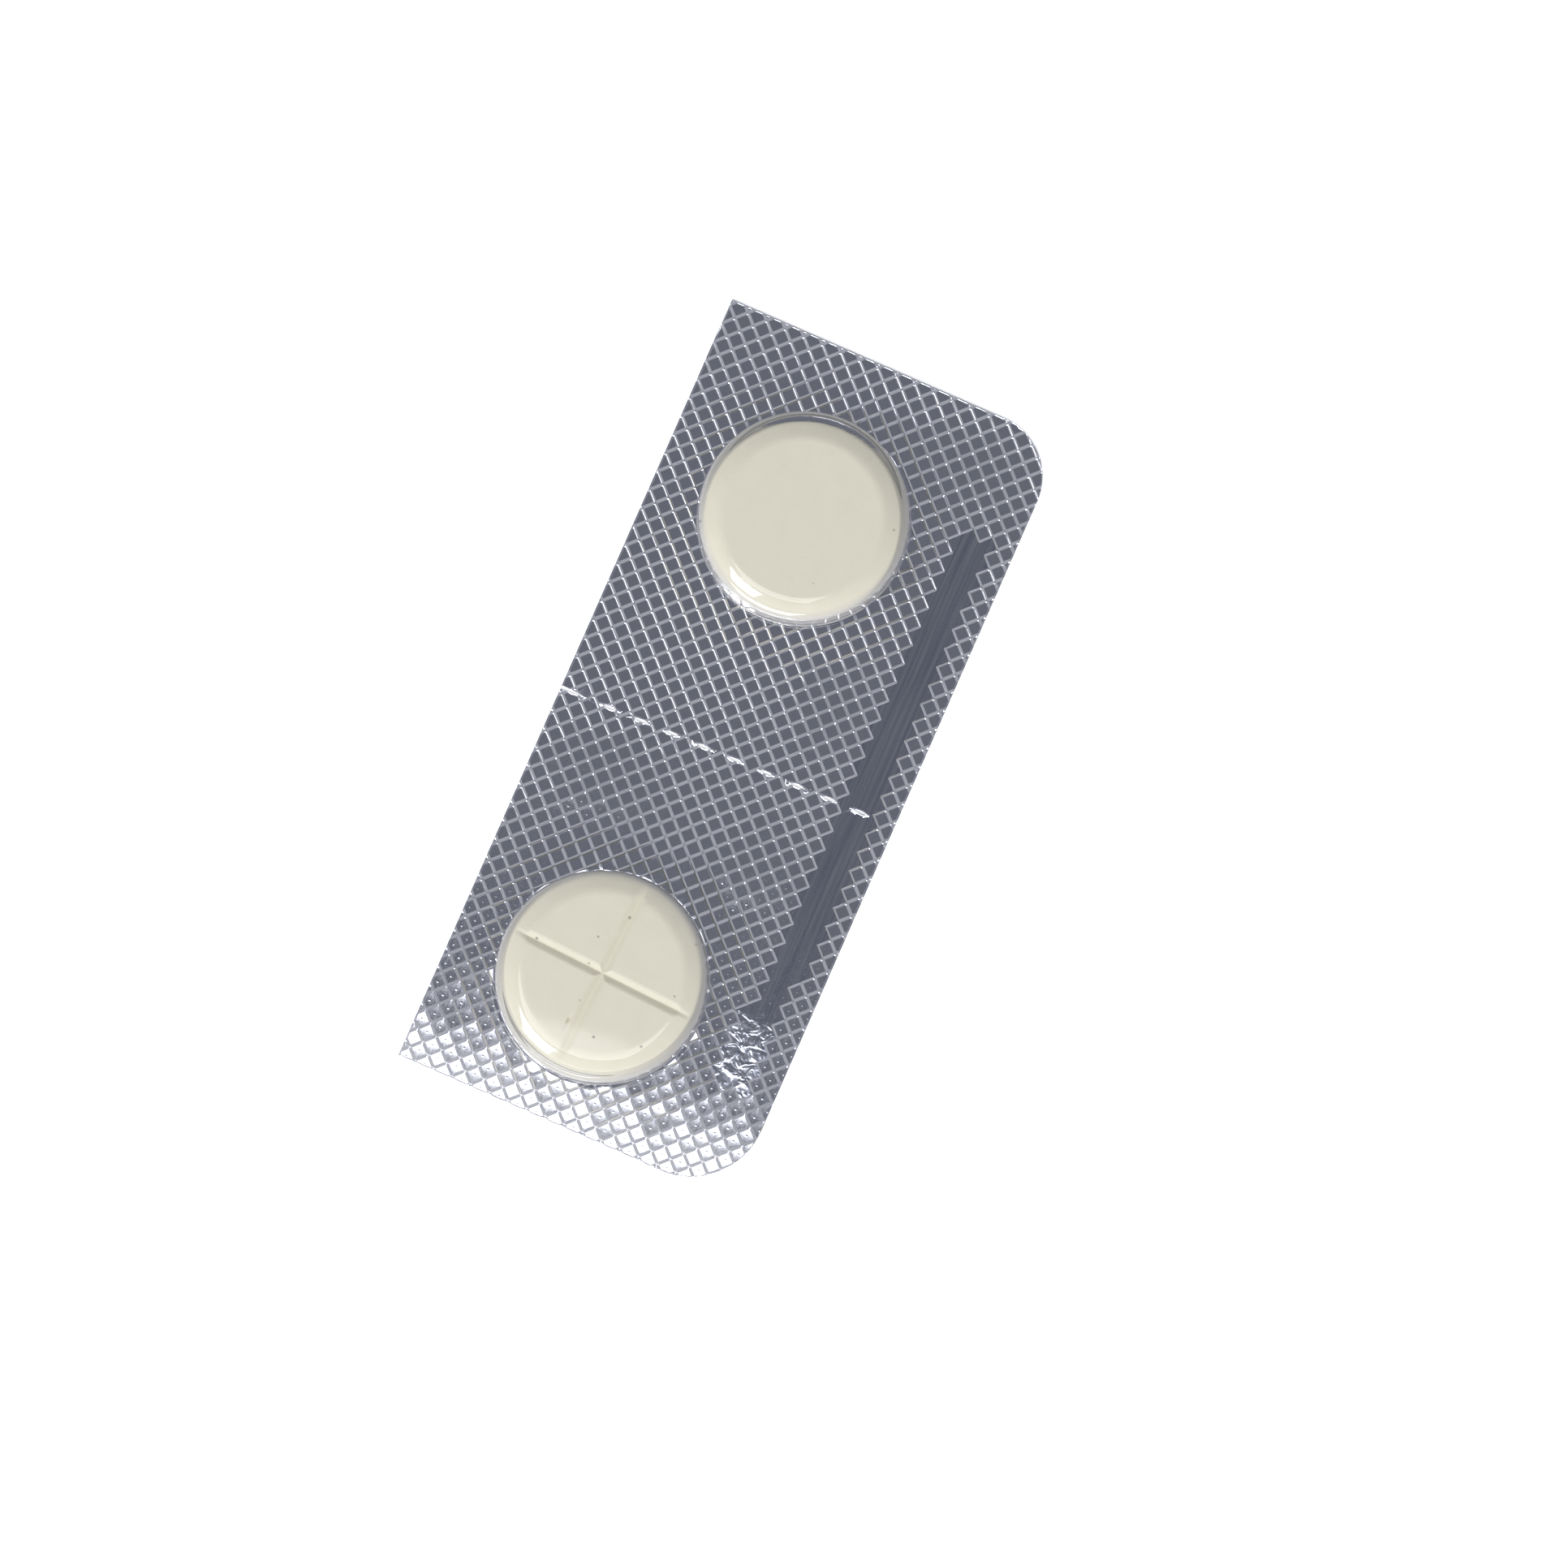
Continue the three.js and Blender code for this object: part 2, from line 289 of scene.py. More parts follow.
class StripColours(bpy.types.PropertyGroup):
    """Colours of the strip's materials."""

    film: bpy.props.FloatVectorProperty(
        name="Film", description="Tint of the clear film",
        default=linear("#f4f5fa"), min=0.0, max=1.0, subtype="COLOR",
    )
    # The wall's lilac-grey: partly the drawn film's own milkiness, partly a painted reflection of
    # the room
    film_wall_haze_and_reflection: bpy.props.FloatVectorProperty(
        name="Film Wall", description="Haze of the film where it is drawn into a pocket's wall",
        default=linear("#8d90a6"), min=0.0, max=1.0, subtype="COLOR",
    )
    foil: bpy.props.FloatVectorProperty(
        name="Foil", description="Colour of the bare aluminium",
        default=linear("#e4e5e9"), min=0.0, max=1.0, subtype="COLOR",
    )
    foil_worn: bpy.props.FloatVectorProperty(
        name="Worn Foil", description="Colour of the dull lines that rolling leaves in the foil",
        default=linear("#b4b8c6"), min=0.0, max=1.0, subtype="COLOR",
    )
    tablet: bpy.props.FloatVectorProperty(
        name="Tablet", description="Main colour of the pressed powder",
        default=linear("#e5e1c9"), min=0.0, max=1.0, subtype="COLOR",
    )
    tablet_shade: bpy.props.FloatVectorProperty(
        name="Tablet Shade", description="Second colour of the powder, in soft clouds",
        default=linear("#dfdac1"), min=0.0, max=1.0, subtype="COLOR",
    )
    speck: bpy.props.FloatVectorProperty(
        name="Speck", description="Colour of the dark grains in the powder",
        default=linear("#8e8b7c"), min=0.0, max=1.0, subtype="COLOR",
    )
    floor: bpy.props.FloatVectorProperty(
        name="Floor", description="Colour of the studio's floor",
        default=linear("#f4f4f4"), min=0.0, max=1.0, subtype="COLOR",
    )


def add_node(tree, kind, values=None, links=None, **settings):
    """Adds a node with its settings, its sockets' values and the links into it."""
    node = tree.nodes.new(kind)
    for name, value in settings.items():
        setattr(node, name, value)
    for socket, value in (values or {}).items():
        node.inputs[socket].default_value = value
    for socket, source in (links or {}).items():
        tree.links.new(source, node.inputs[socket])
    return node


def new_material(name):
    """An empty node material and its output."""
    material = bpy.data.materials.new(name)
    material.use_nodes = True
    material.node_tree.nodes.clear()
    output = add_node(material.node_tree, "ShaderNodeOutputMaterial")
    return material, material.node_tree, output


def add_bump(tree, height, depth, below=None):
    """Raises the surface by a height from 0 to 1 times a depth in metres, over another bump."""
    links = {"Height": height}
    if below is not None:
        links["Normal"] = below
    bump = add_node(tree, "ShaderNodeBump", {"Strength": 1.0, "Distance": depth}, links)
    return bump.outputs["Normal"]


def add_noise(tree, place, size, detail=2.0, roughness=0.5, distortion=0.0):
    """Soft noise whose lumps are about the given size in metres across."""
    node = add_node(
        tree, "ShaderNodeTexNoise",
        {"Scale": 1 / size, "Detail": detail, "Roughness": roughness, "Distortion": distortion},
        {"Vector": place},
    )
    return node.outputs["Fac"]


def mix_colours(tree, share, first, second):
    """Mixes two colours. The first may be another node's output."""
    colour_a, colour_b, colour_out = 6, 7, 2
    values = {colour_b: second}
    links = {0: share}
    if isinstance(first, tuple):
        values[colour_a] = first
    else:
        links[colour_a] = first
    node = add_node(tree, "ShaderNodeMix", values, links, data_type="RGBA")
    return node.outputs[colour_out]


def film_material(colours):
    """Clear PVC, thermoformed: a faintly lilac, glossy film, with the slow waves that heat and
    the forming tool leave in it. Where it is drawn into a wall, a lilac-grey layer is mixed in:
    partly the film's milkiness there, partly a painted reflection of the room. Light that goes
    through to the foil and tablets isn't bent, so that lamps reach them."""
    material, tree, output = new_material("Clear thermoformed PVC")
    place = add_node(tree, "ShaderNodeTexCoord").outputs["Object"]
    waves = add_noise(tree, place, FILM_WAVE_SIZE, detail=1.0)
    normal = add_bump(tree, waves, FILM_WAVE_HEIGHT)
    film = add_node(
        tree, "ShaderNodeBsdfPrincipled",
        {"Base Color": opaque(colours.film), "Roughness": 0.04, "IOR": 1.53,
         "Transmission Weight": 1.0},
        {"Normal": normal},
    )
    # Lilac-grey layer for the wall: partly the drawn film's milkiness, partly a painted reflection
    # of the room
    haze_and_reflection = add_node(
        tree, "ShaderNodeBsdfPrincipled",
        {"Base Color": opaque(colours.film_wall_haze_and_reflection), "Roughness": 0.2, "IOR": 1.53},
        {"Normal": normal},
    )
    drawn = add_node(tree, "ShaderNodeAttribute", attribute_name="drawn").outputs["Fac"]
    haze_and_reflection_share = add_node(
        tree, "ShaderNodeMath", {1: WALL_HAZE_AND_PAINTED_REFLECTION}, {0: drawn}, operation="MULTIPLY",
    ).outputs[0]
    seen = add_node(
        tree, "ShaderNodeMixShader", links={0: haze_and_reflection_share, 1: film.outputs[0], 2: haze_and_reflection.outputs[0]},
    )
    clear = add_node(tree, "ShaderNodeBsdfTransparent", {"Color": opaque(linear("#fafafc"))})
    ray = add_node(tree, "ShaderNodeLightPath")
    unbent = ray.outputs["Is Shadow Ray"]
    for way in ("Is Diffuse Ray", "Is Glossy Ray"):
        unbent = add_node(
            tree, "ShaderNodeMath", links={0: unbent, 1: ray.outputs[way]}, operation="MAXIMUM",
        ).outputs[0]
    mix = add_node(
        tree, "ShaderNodeMixShader", links={0: unbent, 1: seen.outputs[0], 2: clear.outputs[0]},
    )
    tree.links.new(mix.outputs[0], output.inputs["Surface"])
    return material


def foil_material(colours, sizes):
    """Hard-temper aluminium foil, rolled bright and then embossed: it mirrors the room, with fine
    rolling lines along the strip, a shallow dish in each cell and creases where the knurl is
    faint or the band is wrinkled."""
    material, tree, output = new_material("Embossed aluminium lidding foil")
    place = add_node(tree, "ShaderNodeTexCoord").outputs["Object"]
    faint = add_node(tree, "ShaderNodeAttribute", attribute_name="faint").outputs["Fac"]

    # Slow waves of the whole sheet, and the dish of each cell on the knurl's own grid
    waves = add_noise(tree, place, FOIL_WAVE_SIZE, detail=1.0)
    normal = add_bump(tree, waves, FOIL_WAVE_HEIGHT)
    grid = add_node(
        tree, "ShaderNodeMapping",
        {"Rotation": (0, 0, -KNURL_TURN), "Location": (-KNURL_SHIFT, 0, 0)},
        {"Vector": place},
    ).outputs[0]
    cell = add_node(
        tree, "ShaderNodeVectorMath", {1: (1 / sizes.knurl_pitch,) * 3}, {0: grid},
        operation="MULTIPLY",
    ).outputs[0]
    inside = add_node(
        tree, "ShaderNodeVectorMath", links={0: cell}, operation="FRACTION",
    ).outputs[0]
    from_centre = add_node(
        tree, "ShaderNodeVectorMath", {1: (0.5, 0.5, 0.0)}, {0: inside}, operation="SUBTRACT",
    ).outputs[0]
    flat = add_node(
        tree, "ShaderNodeVectorMath", {1: (1.0, 1.0, 0.0)}, {0: from_centre},
        operation="MULTIPLY",
    ).outputs[0]
    reach = add_node(
        tree, "ShaderNodeVectorMath", links={0: flat}, operation="LENGTH",
    ).outputs["Value"]
    dish = add_node(
        tree, "ShaderNodeMath", {1: 2.0}, {0: reach}, operation="POWER",
    ).outputs[0]
    normal = add_bump(tree, dish, DISH_HEIGHT, normal)

    # The point that the embossing pin leaves in the middle of a cell
    dot = add_node(
        tree, "ShaderNodeMapRange",
        {"From Min": 0.03, "From Max": 0.10, "To Min": 1.0, "To Max": 0.0}, {"Value": reach},
        interpolation_type="SMOOTHSTEP",
    ).outputs[0]
    normal = add_bump(tree, dot, PIN_POINT_HEIGHT, normal)

    # Creases, only where the knurl is faint or the band is wrinkled
    creases = add_noise(tree, place, CREASE_SIZE, detail=2.0, distortion=0.6)
    creased = add_node(
        tree, "ShaderNodeMath", links={0: creases, 1: faint}, operation="MULTIPLY",
    ).outputs[0]
    normal = add_bump(tree, creased, CREASE_HEIGHT, normal)

    # Rolling lines, drawn 0.25 mm apart because the real ones are too fine to show
    lines = add_node(
        tree, "ShaderNodeMapping", {"Scale": (1 / ROLLING_PITCH, 1 / ROLLING_LENGTH, 1.0)},
        {"Vector": place},
    ).outputs[0]
    streaks = add_node(
        tree, "ShaderNodeTexNoise", {"Scale": 1.0, "Detail": 2.0}, {"Vector": lines},
    ).outputs["Fac"]
    normal = add_bump(tree, streaks, ROLLING_HEIGHT, normal)
    polish = add_node(
        tree, "ShaderNodeMapRange",
        {"From Min": 0.3, "From Max": 0.7, "To Min": 0.035, "To Max": 0.06}, {"Value": streaks},
    ).outputs[0]
    rubbed = add_node(
        tree, "ShaderNodeMath", {1: 0.03}, {0: faint, 2: polish}, operation="MULTIPLY_ADD",
    ).outputs[0]

    # Only the smooth band shows the dull lines.
    smooth = add_node(tree, "ShaderNodeAttribute", attribute_name="smooth").outputs["Fac"]
    dark_lines = add_node(
        tree, "ShaderNodeMapRange",
        {"From Min": 0.35, "From Max": 0.65, "To Min": 0.0, "To Max": 0.8}, {"Value": streaks},
    ).outputs[0]
    worn = add_node(
        tree, "ShaderNodeMath", links={0: dark_lines, 1: smooth}, operation="MULTIPLY",
    ).outputs[0]
    colour = mix_colours(tree, worn, opaque(colours.foil), opaque(colours.foil_worn))
    metal = add_node(
        tree, "ShaderNodeBsdfPrincipled", {"Metallic": 1.0},
        {"Base Color": colour, "Roughness": rubbed, "Normal": normal},
    )
    tree.links.new(metal.outputs[0], output.inputs["Surface"])
    return material


def tablet_material(colours):
    """Compressed powder, uncoated: matt and a little chalky, in soft clouds of cream, with fine
    grain and a few dark specks."""
    material, tree, output = new_material("Pressed uncoated powder")
    place = add_node(tree, "ShaderNodeTexCoord").outputs["Object"]
    clouds = add_noise(tree, place, CLOUD_SIZE, detail=4.0, roughness=0.6)
    cream = mix_colours(tree, clouds, opaque(colours.tablet), opaque(colours.tablet_shade))
    cells = add_node(tree, "ShaderNodeTexVoronoi", {"Scale": 1 / SPECK_PITCH}, {"Vector": place})
    speck = add_node(
        tree, "ShaderNodeMapRange",
        {"From Min": 0.035, "From Max": 0.06, "To Min": 0.8, "To Max": 0.0},
        {"Value": cells.outputs["Distance"]},
    ).outputs[0]
    powder = mix_colours(tree, speck, cream, opaque(colours.speck))
    grain = add_noise(tree, place, GRAIN_SIZE, detail=3.0)
    normal = add_bump(tree, grain, GRAIN_HEIGHT)
    body = add_node(
        tree, "ShaderNodeBsdfPrincipled", {"Roughness": 0.75, "IOR": 1.5},
        {"Base Color": powder, "Normal": normal},
    )
    tree.links.new(body.outputs[0], output.inputs["Surface"])
    return material


def floor_material(colours):
    """Matt studio paper. Its own glow, as seen directly, in mirrors and through the film, brings
    it up to white."""
    material, tree, output = new_material("Matt white studio paper")
    paper = add_node(tree, "ShaderNodeBsdfDiffuse", {"Color": opaque(colours.floor)})
    ray = add_node(tree, "ShaderNodeLightPath")
    seen = ray.outputs["Is Camera Ray"]
    for way in ("Is Glossy Ray", "Is Transmission Ray"):
        seen = add_node(
            tree, "ShaderNodeMath", links={0: seen, 1: ray.outputs[way]}, operation="MAXIMUM",
        ).outputs[0]
    strength = add_node(
        tree, "ShaderNodeMath", {1: FLOOR_GLOW}, {0: seen}, operation="MULTIPLY",
    ).outputs[0]
    glow = add_node(tree, "ShaderNodeEmission", links={"Strength": strength})
    both = add_node(tree, "ShaderNodeAddShader", links={0: paper.outputs[0], 1: glow.outputs[0]})
    tree.links.new(both.outputs[0], output.inputs["Surface"])
    return material


def add_piece(name, bm, material, node):
    """Makes the finished mesh a piece that stands for a node of the frame."""
    mesh = bpy.data.meshes.new(name)
    bm.to_mesh(mesh)
    bm.free()
    mesh.materials.append(material)
    piece = bpy.data.objects.new(name, mesh)
    bpy.context.scene.collection.objects.link(piece)
    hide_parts(node)
    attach(piece, "root")
    return piece


def spin_profile(bm, profile, centre, steps):
    """Turns a profile of radius and height about an upright axis."""
    verts = [bm.verts.new((centre.x + radius, centre.y, height)) for radius, height in profile]
    edges = [bm.edges.new(pair) for pair in zip(verts, verts[1:])]
    bmesh.ops.spin(
        bm, geom=verts + edges, cent=(centre.x, centre.y, 0), axis=(0, 0, 1),
        angle=2 * math.pi, steps=steps, use_merge=True,
    )


def cut_faces(bm, faces, point, direction, clear_outer=False):
    """Cuts some of the faces along an upright plane, and may clear what lies outside it."""
    edges = dict.fromkeys(edge for face in faces for edge in face.edges)
    verts = dict.fromkeys(vert for face in faces for vert in face.verts)
    bmesh.ops.bisect_plane(
        bm, geom=[*faces, *edges, *verts], dist=CUT_TOLERANCE, plane_co=point,
        plane_no=direction, clear_outer=clear_outer,
    )


def round_corners(sizes):
    """Centre, radius and first angle of the two round corners on the right."""
    lower = sizes.lower_corner_radius
    upper = sizes.upper_corner_radius
    return (
        (Vector((HALF_WIDTH - lower, lower - HALF_LENGTH, 0)), lower, -math.pi / 2),
        (Vector((HALF_WIDTH - upper, HALF_LENGTH - upper, 0)), upper, 0.0),
    )


def trim_to_outline(bm, sizes, inset, clear):
    """Cuts a sheet along the strip's outline, four sides and two round corners, this far inside
    it, and may clear what lies outside."""
    for direction in (Vector((1, 0, 0)), Vector((0, 1, 0))):
        for way in (-1, 1):
            point = Vector((HALF_WIDTH - inset, HALF_LENGTH - inset, 0)) * way
            cut_faces(bm, bm.faces[:], point, direction * way, clear_outer=clear)
    step = math.pi / 2 / CORNER_STEPS
    for centre, radius, first in round_corners(sizes):
        outward = 1 if first == 0.0 else -1
        for k in range(CORNER_STEPS):
            angle = first + (k + 0.5) * step
            direction = Vector((math.cos(angle), math.sin(angle), 0))
            point = centre + direction * (radius * math.cos(step / 2) - inset)
            # The cut leaves all faces alone that lie more than 1 mm away from the corner.
            near = [
                face for face in bm.faces
                if face.calc_center_median().x > centre.x - MM
                and outward * (face.calc_center_median().y - centre.y) > -MM
            ]
            cut_faces(bm, near, point, direction, clear_outer=clear)


def slits():
    """Centre and length of each slit of the perforation."""
    turn = Matrix.Rotation(PERFORATION_TURN, 3, "Z")
    raised = Vector((0, PERFORATION_HEIGHT, 0))
    places = [(turn @ Vector((-HALF_WIDTH, 0, 0)) + raised, EDGE_SLIT_LENGTH)]
    for k in range(SLIT_COUNT):
        along = FIRST_SLIT + k * SLIT_PITCH
        places.append((turn @ Vector((along, 0, 0)) + raised, SLIT_LENGTH))
    return places


def lens(centre, length, margin=0.0):
    """Corners of a slit: a pointed lens, grown by a margin on its long sides and by more at its
    tips."""
    tip = length / 2 + LIP_TIP_SHARE * margin
    shoulder = length / 4
    side = SLIT_WIDTH / 2 + margin
    turn = Matrix.Rotation(PERFORATION_TURN, 3, "Z")
    corners = (
        (-tip, 0), (-shoulder, -side), (shoulder, -side), (tip, 0), (shoulder, side),
        (-shoulder, side),
    )
    return [centre + turn @ Vector((x, y, 0)) for x, y in corners]


def sides_of(corners):
    """Middle, outward direction and length of each side of a convex outline."""
    sides = []
    for start, end in zip(corners, corners[1:] + corners[:1]):
        run = end - start
        sides.append(((start + end) / 2, Vector((run.y, -run.x, 0)).normalized(), run.length))
    return sides


def outside(point, sides):
    """How far a point lies outside a convex outline, or less than 0 inside it."""
    return max((point - middle).xy.dot(direction.xy) for middle, direction, length in sides)


def cut_slits(bm):
    """Cuts the slits out of the foil, and bends it up to a lip around each one."""
    for centre, length in slits():
        hole = sides_of(lens(centre, length))
        for corners in (lens(centre, length, LIP_WIDTH), lens(centre, length)):
            for middle, direction, run in sides_of(corners):
                near = [
                    face for face in bm.faces
                    if (face.calc_center_median() - middle).xy.length < run / 2 + SLIT_NEAR
                ]
                if near:
                    cut_faces(bm, near, middle, direction)
        inside = [face for face in bm.faces if outside(face.calc_center_median(), hole) < 0]
        bmesh.ops.delete(bm, geom=inside, context="FACES")
        for vert in bm.verts:
            away = outside(vert.co, hole)
            if away < LIP_WIDTH and (vert.co - centre).xy.length < length:
                vert.co.z *= max(away, 0.0) / LIP_WIDTH


def add_loop(bm, points):
    """A closed loop of edges through the points."""
    verts = [bm.verts.new(point) for point in points]
    return [bm.edges.new(pair) for pair in zip(verts, verts[1:] + verts[:1])]


def on_circle(centre, radius, angle, height):
    """Point of a level circle."""
    return centre.x + radius * math.cos(angle), centre.y + radius * math.sin(angle), height


def circle(centre, radius, height, steps):
    """Points of a level circle, from its right-hand side."""
    return [on_circle(centre, radius, 2 * math.pi * k / steps, height) for k in range(steps)]


def strip_outline(sizes, height):
    """Corners of the strip anticlockwise, with the notch of the first slit in its left edge."""
    points = [(-HALF_WIDTH, -HALF_LENGTH, height)]
    for centre, radius, first in round_corners(sizes):
        for k in range(CORNER_STEPS + 1):
            angle = first + math.pi / 2 * k / CORNER_STEPS
            points.append(on_circle(centre, radius, angle, height))
    points.append((-HALF_WIDTH, HALF_LENGTH, height))
    notch = lens(*slits()[0])
    points.append((-HALF_WIDTH, notch[4].y, height))
    points += [(corner.x, corner.y, height) for corner in (notch[4], notch[3], notch[2])]
    points.append((-HALF_WIDTH, notch[2].y, height))
    return points


def tilted(angle):
    """Direction of a half section at an angle outwards from upright."""
    return Vector((math.sin(angle), math.cos(angle)))


def pocket_surface(sizes, offset):
    """Half section of a pocket from the top of its wall to the centre of its roof, at a distance
    outwards from its inner face."""
    wall_radius = TABLET_RADIUS + sizes.pocket_clearance
    roof = ROOF_HEIGHT - sizes.pocket_wall
    crown_centre = Vector((FLAT_ROOF_RADIUS, roof - CROWN_RADIUS))
    turn_over = tilted(CROWN_TILT)
    crown_end = crown_centre + turn_over * CROWN_RADIUS
    shoulder_radius = (wall_radius - crown_end.x) / (1 - turn_over.x)
    shoulder_centre = crown_end - turn_over * shoulder_radius
    points = []
    for k in range(SHOULDER_STEPS):
        angle = math.pi / 2 + (CROWN_TILT - math.pi / 2) * k / SHOULDER_STEPS
        points.append(shoulder_centre + tilted(angle) * (shoulder_radius + offset))
    for k in range(CROWN_STEPS + 1):
        angle = CROWN_TILT * (1 - k / CROWN_STEPS)
        points.append(crown_centre + tilted(angle) * (CROWN_RADIUS + offset))
    points.append(Vector((0, roof + offset)))
    return points


def inner_foot(sizes):
    """Radius of a pocket's mouth on the foil."""
    return TABLET_RADIUS + sizes.pocket_clearance + POCKET_DRAFT


def outer_foot(sizes):
    """Radius at which a pocket's outer wall has run out into the flat film."""
    return inner_foot(sizes) + sizes.pocket_wall + FOOT_RADIUS


def flat_ring(sizes):
    """Radius of the ring of flat film that belongs to a pocket."""
    return outer_foot(sizes) + FLAT_RING


def pocket_outside(sizes):
    """Half section of a pocket's outer face, from the flat film over the foot and up."""
    film_top = SEAL_HEIGHT + sizes.film_thickness
    centre = Vector((outer_foot(sizes), film_top + FOOT_RADIUS))
    points = [Vector((flat_ring(sizes), film_top))]
    for k in range(FOOT_STEPS + 1):
        angle = math.pi / 2 * k / FOOT_STEPS
        points.append(centre - tilted(angle) * FOOT_RADIUS)
    return points + pocket_surface(sizes, sizes.pocket_wall)


def pocket_inside(sizes):
    """Half section of a pocket's inner face, from the foil up."""
    return [Vector((inner_foot(sizes), SEAL_HEIGHT)), *pocket_surface(sizes, 0.0)]


def cell_floor(column, row):
    """Share of the knurl's depth that a cell's floor has, and how far it tilts each way."""
    place = Vector((column * CELL_NOISE_STEP, row * CELL_NOISE_STEP, CELL_NOISE_LAYER))
    lumps = noise.noise_vector(place)
    return 1 + DEPTH_VARIATION * lumps.z, lumps.x * FLOOR_TILT, lumps.y * FLOOR_TILT


def faintness(x, y):
    """How faint the knurl is at a point, from 0 to 1."""
    place = Vector((x / FAINT_WANDER_SIZE, y / FAINT_WANDER_SIZE, FAINT_NOISE_LAYER))
    wander = FAINT_WANDER * noise.noise(place)
    found = 0.0
    for (centre_x, centre_y), (half_x, half_y) in FAINT_PATCHES:
        away = math.hypot((x / MM - centre_x) / half_x, (y / MM - centre_y) / half_y)
        found = max(found, FAINT_SLOPE - FAINT_SLOPE * away + wander)
    return min(max(found, 0.0), 1.0)


def knurl_place(across, along, pitch):
    """Point of the sheet from its place on the knurl's grid."""
    x = across * pitch + KNURL_SHIFT
    y = along * pitch
    cosine = math.cos(KNURL_TURN)
    sine = math.sin(KNURL_TURN)
    return x * cosine - y * sine, x * sine + y * cosine


def from_pockets(x, y):
    """Distance to the nearer pocket's axis."""
    return min(math.hypot(x - pocket.x, y - pocket.y) for pocket in POCKETS)


def is_knurled(cell, pitch, smooth_radius):
    """A cell is knurled unless its middle lies under a pocket or in the smooth band."""
    x, y = knurl_place(cell[0] + 0.5, cell[1] + 0.5, pitch)
    if from_pockets(x, y) < smooth_radius:
        return False
    return not (BAND_LEFT < x < BAND_RIGHT and BAND_BOTTOM < y < BAND_TOP)


def knurled_sheet(sizes):
    """A flat grid whose points are moved to the ridges, flanks and floors of the knurl."""
    # Without a seed, noise_vector goes by the clock.
    noise.seed_set(CELL_NOISE_SEED)
    pitch = sizes.knurl_pitch
    half_cells = math.ceil(math.hypot(HALF_WIDTH, HALF_LENGTH) / pitch) + 1
    half_steps = half_cells * CELL_STEPS
    bm = bmesh.new()
    bmesh.ops.create_grid(
        bm, x_segments=2 * half_steps, y_segments=2 * half_steps, size=half_steps,
    )
    far = []
    for face in bm.faces:
        middle = face.calc_center_median() / CELL_STEPS
        x, y = knurl_place(middle.x, middle.y, pitch)
        if abs(x) > HALF_WIDTH + pitch or abs(y) > HALF_LENGTH + pitch:
            far.append(face)
    bmesh.ops.delete(bm, geom=far, context="FACES")

    smooth_radius = inner_foot(sizes)
    knurled = {
        (i, j): is_knurled((i, j), pitch, smooth_radius)
        for i in range(-half_cells - 1, half_cells + 1)
        for j in range(-half_cells - 1, half_cells + 1)
    }
    faint_layer = bm.verts.layers.float.new("faint")
    smooth_layer = bm.verts.layers.float.new("smooth")
    for vert in bm.verts:
        i, across_step = divmod(round(vert.co.x), CELL_STEPS)
        j, along_step = divmod(round(vert.co.y), CELL_STEPS)
        columns = (i - 1, i) if across_step == 0 else (i,)
        rows = (j - 1, j) if along_step == 0 else (j,)
        far_side = across_step > CELL_STEPS / 2
        far_end = along_step > CELL_STEPS / 2
        ridge_across = any(
            knurled[column, row] for column in (i + far_side - 1, i + far_side) for row in rows
        )
        ridge_along = any(
            knurled[column, row] for row in (j + far_end - 1, j + far_end) for column in columns
        )
        share = min(
            STEP_DEPTHS[across_step] if ridge_across else 1.0,
            STEP_DEPTHS[along_step] if ridge_along else 1.0,
        )
        x, y = knurl_place(i + STEP_PLACES[across_step], j + STEP_PLACES[along_step], pitch)
        faint = faintness(x, y)
        touches_knurl = any(knurled[column, row] for column in columns for row in rows)
        if touches_knurl and from_pockets(x, y) > smooth_radius:
            depth_share, tilt_x, tilt_y = cell_floor(i, j)
            depth = sizes.knurl_depth * depth_share * (1 - (1 - FAINT_SHARE) * faint)
            depth += tilt_x if far_side else -tilt_x
            depth += tilt_y if far_end else -tilt_y
        else:
            depth = SMOOTH_DEPTH
            share = 1.0
        in_band = not touches_knurl and x > BAND_LEFT - pitch
        wrinkled = min(max((WRINKLE_TOP - y) / WRINKLE_FADE, 0.0), 1.0)
        vert[smooth_layer] = 1.0 if in_band else 0.0
        vert[faint_layer] = wrinkled if in_band else faint * FAINT_CREASES
        vert.co = (x, y, -share * depth)
    return bm


def tablet_profile():
    """Half section of a tablet from the centre of its back to the centre of its face."""
    flat = TABLET_RADIUS - BEVEL_WIDTH
    corners = [
        (Vector((0, 0)), 0.0),
        (Vector((flat, 0)), BEVEL_ROUND),
        (Vector((TABLET_RADIUS, BEVEL_HEIGHT)), BEVEL_ROUND / 2),
        (Vector((TABLET_RADIUS, TABLET_THICKNESS - BEVEL_HEIGHT)), BEVEL_ROUND / 2),
        (Vector((flat, TABLET_THICKNESS)), BEVEL_ROUND),
        (Vector((0, TABLET_THICKNESS)), 0.0),
    ]
    points = [corners[0][0]]
    for before, (corner, cut), after in zip(corners, corners[1:-1], corners[2:]):
        start = corner + (before[0] - corner).normalized() * cut
        end = corner + (after[0] - corner).normalized() * cut
        for k in range(BEVEL_STEPS + 1):
            share = k / BEVEL_STEPS
            points.append(
                start * (1 - share) ** 2 + corner * 2 * share * (1 - share) + end * share ** 2
            )
    points.append(corners[-1][0])
    return points


def upper_faces(bm):
    """Faces of a tablet's upper side, with the bevel around it."""
    lowest = TABLET_THICKNESS - BEVEL_HEIGHT
    return [face for face in bm.faces if face.calc_center_median().z > lowest]


